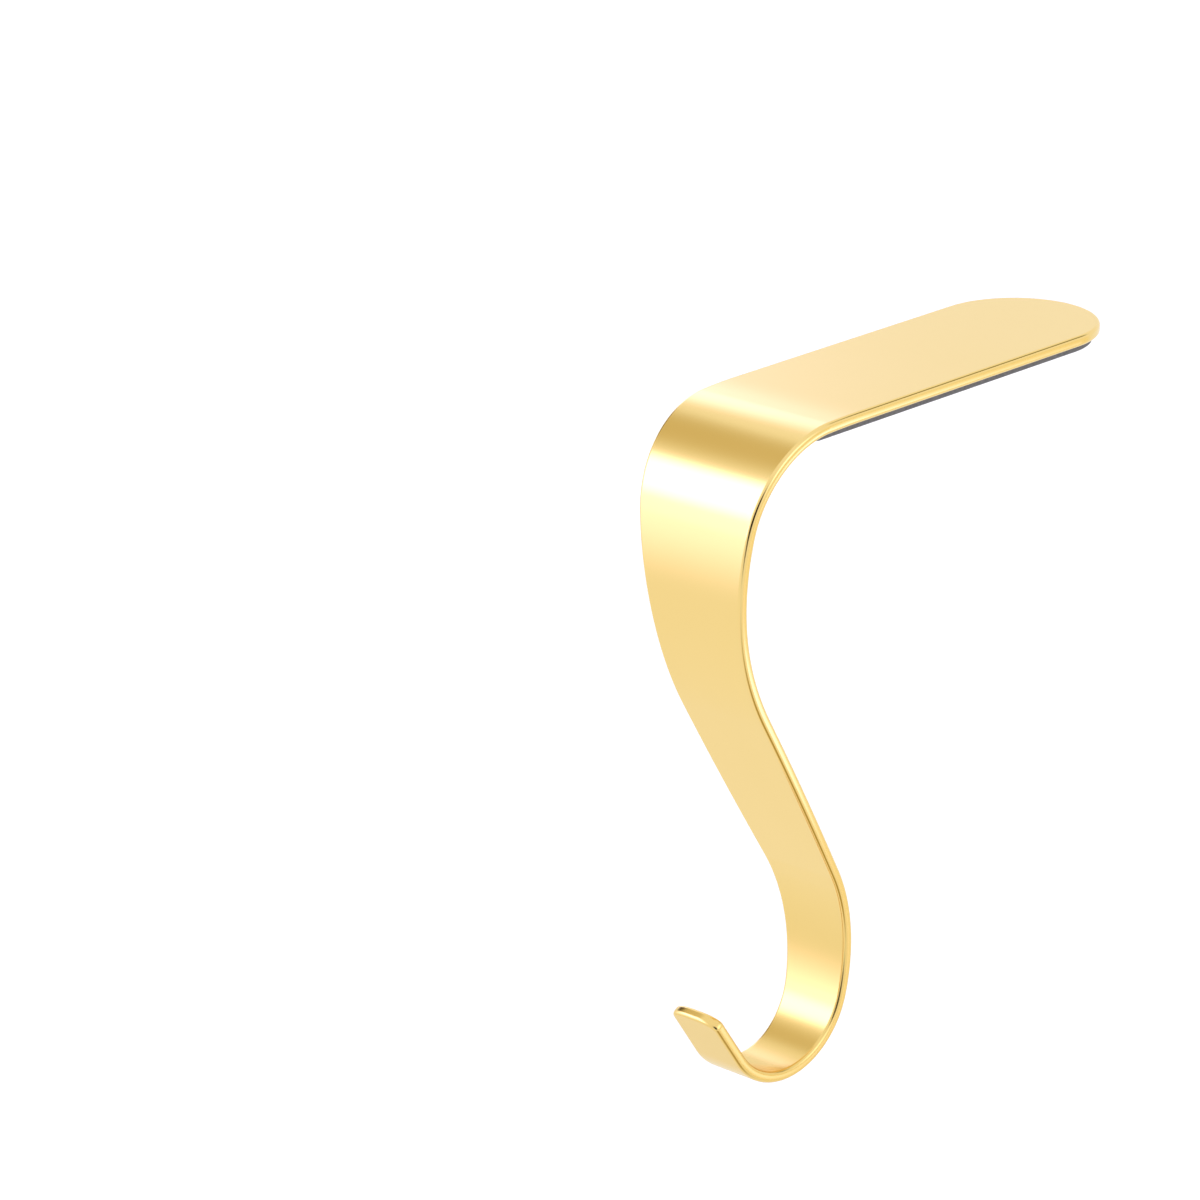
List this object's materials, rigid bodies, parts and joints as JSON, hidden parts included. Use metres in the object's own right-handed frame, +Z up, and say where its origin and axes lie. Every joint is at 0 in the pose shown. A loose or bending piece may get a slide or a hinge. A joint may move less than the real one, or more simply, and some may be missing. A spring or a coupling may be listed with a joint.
{
  "type": "mantel stocking holder",
  "caption": "Tapered metal strip bent into a flat arm that lies on a shelf, a leg that sweeps back below it and an upturned hook for a stocking, with a grip pad under the arm.",
  "frame": {"origin": "middle of the grip pad's underside, where the arm rests on the shelf", "axes": "+X across the strip, -Y out into the room over the shelf's front edge, +Z up"},
  "size_m": [0.0308, 0.1035, 0.1255],
  "materials": {
    "plated_steel": "bright gold-toned plating on steel",
    "grip_rubber": "matt grey"
  },
  "bodies": {
    "root": {"hook_strip": "plated_steel", "grip_pad": "grip_rubber"}
  },
  "joints": []
}
